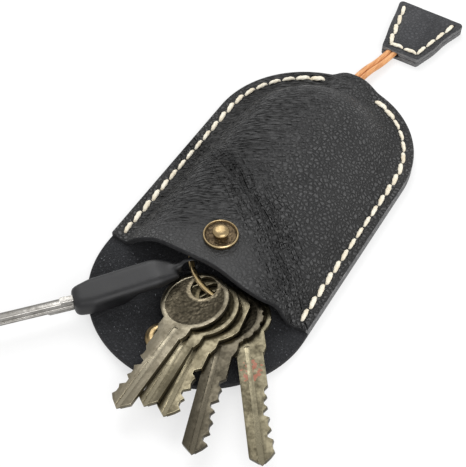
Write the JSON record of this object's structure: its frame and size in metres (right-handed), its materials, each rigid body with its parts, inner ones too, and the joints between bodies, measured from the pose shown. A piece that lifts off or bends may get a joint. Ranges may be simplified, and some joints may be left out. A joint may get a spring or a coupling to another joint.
{
  "type": "key case",
  "caption": "Sewn leather bell-shaped key case with a closing snap flap, a split ring of keys on a pull lace and a leather pull tab.",
  "frame": {"origin": "on the back panel's outer face at the middle of the case's mouth", "axes": "+Y from the mouth to the pull lace, +Z out of the front panel, +X to the right seen from the front with the lace up"},
  "size_m": [0.092, 0.1997, 0.0193],
  "materials": {
    "grained_leather": "pebbled grain, soft sheen",
    "suede_leather": "napped flesh side, matte",
    "waxed_thread": "waxed, thick",
    "antique_brass": "aged, rubbed bright on edges",
    "spring_steel": "bright wire",
    "key_brass": "worn nickel plate over brass",
    "key_steel": "milled",
    "black_plastic": "satin, fine moulded grain",
    "tan_lace": "natural tan, smooth"
  },
  "bodies": {
    "case": {"back_panel": "suede_leather", "front_panel": "grained_leather", "left_seam_thread": "waxed_thread", "right_seam_thread": "waxed_thread", "snap_stud": "antique_brass", "stud_eyelet": "antique_brass"},
    "flap": {"closing_flap": "suede_leather", "snap_socket": "antique_brass", "socket_spring": "spring_steel", "snap_cap": "antique_brass"},
    "carrier": {"split_ring": "antique_brass", "pull_cord": "tan_lace", "tab_front": "grained_leather", "tab_back": "grained_leather", "tab_thread": "waxed_thread"},
    "car_key": {"car_key_grip": "black_plastic", "car_key_blade": "key_steel"},
    "house_key_1": {"house_key_1": "key_brass"},
    "house_key_2": {"house_key_2": "key_brass"},
    "house_key_3": {"house_key_3": "key_brass"},
    "house_key_4": {"house_key_4": "key_brass"},
    "house_key_5": {"house_key_5": "key_brass"}
  },
  "joints": [
    {"name": "flap_fold", "type": "hinge", "parent": "case", "child": "flap", "pos_m": [0, -0.006, 0], "axis": [1, 0, 0], "range_deg": [0, 165]},
    {"name": "pull_slide", "type": "slide", "parent": "case", "child": "carrier", "axis": [-0.0872, 0.9962, 0], "range_m": [-0.003, 0.048]},
    {"name": "house_key_1_swing", "type": "hinge", "parent": "carrier", "child": "house_key_1", "pos_m": [0.00316, -0.00629, 0.00898], "axis": [-0.2034, -0.0432, 0.9781], "range_deg": [-0.38, 1.6]},
    {"name": "house_key_2_swing", "type": "hinge", "parent": "carrier", "child": "house_key_2", "pos_m": [0.00621, -0.00648, 0.0081], "axis": [-0.2034, -0.0432, 0.9781], "range_deg": [-2.6, 0.44]},
    {"name": "house_key_3_swing", "type": "hinge", "parent": "carrier", "child": "house_key_3", "pos_m": [0.00922, -0.00598, 0.00718], "axis": [-0.2034, -0.0432, 0.9781], "range_deg": [-9.1, 0.85]},
    {"name": "house_key_4_swing", "type": "hinge", "parent": "carrier", "child": "house_key_4", "pos_m": [0.01204, -0.00481, 0.00626], "axis": [-0.2034, -0.0432, 0.9781], "range_deg": [-17.7, 1.39]},
    {"name": "house_key_5_swing", "type": "hinge", "parent": "carrier", "child": "house_key_5", "pos_m": [0.01453, -0.00303, 0.00539], "axis": [-0.2034, -0.0432, 0.9781], "range_deg": [-33, 2.34]},
    {"name": "car_key_swing", "type": "hinge", "parent": "carrier", "child": "car_key", "pos_m": [-0.00396, -0.00263, 0.01079], "axis": [0, 0, 1], "range_deg": [-2.11, 29.3]}
  ],
  "couplings": [
    {"joint": "house_key_1_swing", "follows": "pull_slide", "rad_per_m": 0.47269},
    {"joint": "house_key_2_swing", "follows": "pull_slide", "rad_per_m": -0.8363},
    {"joint": "house_key_3_swing", "follows": "pull_slide", "rad_per_m": -3.1998},
    {"joint": "house_key_4_swing", "follows": "pull_slide", "rad_per_m": -6.3268},
    {"joint": "house_key_5_swing", "follows": "pull_slide", "rad_per_m": -11.89},
    {"joint": "car_key_swing", "follows": "pull_slide", "rad_per_m": 10.545}
  ]
}
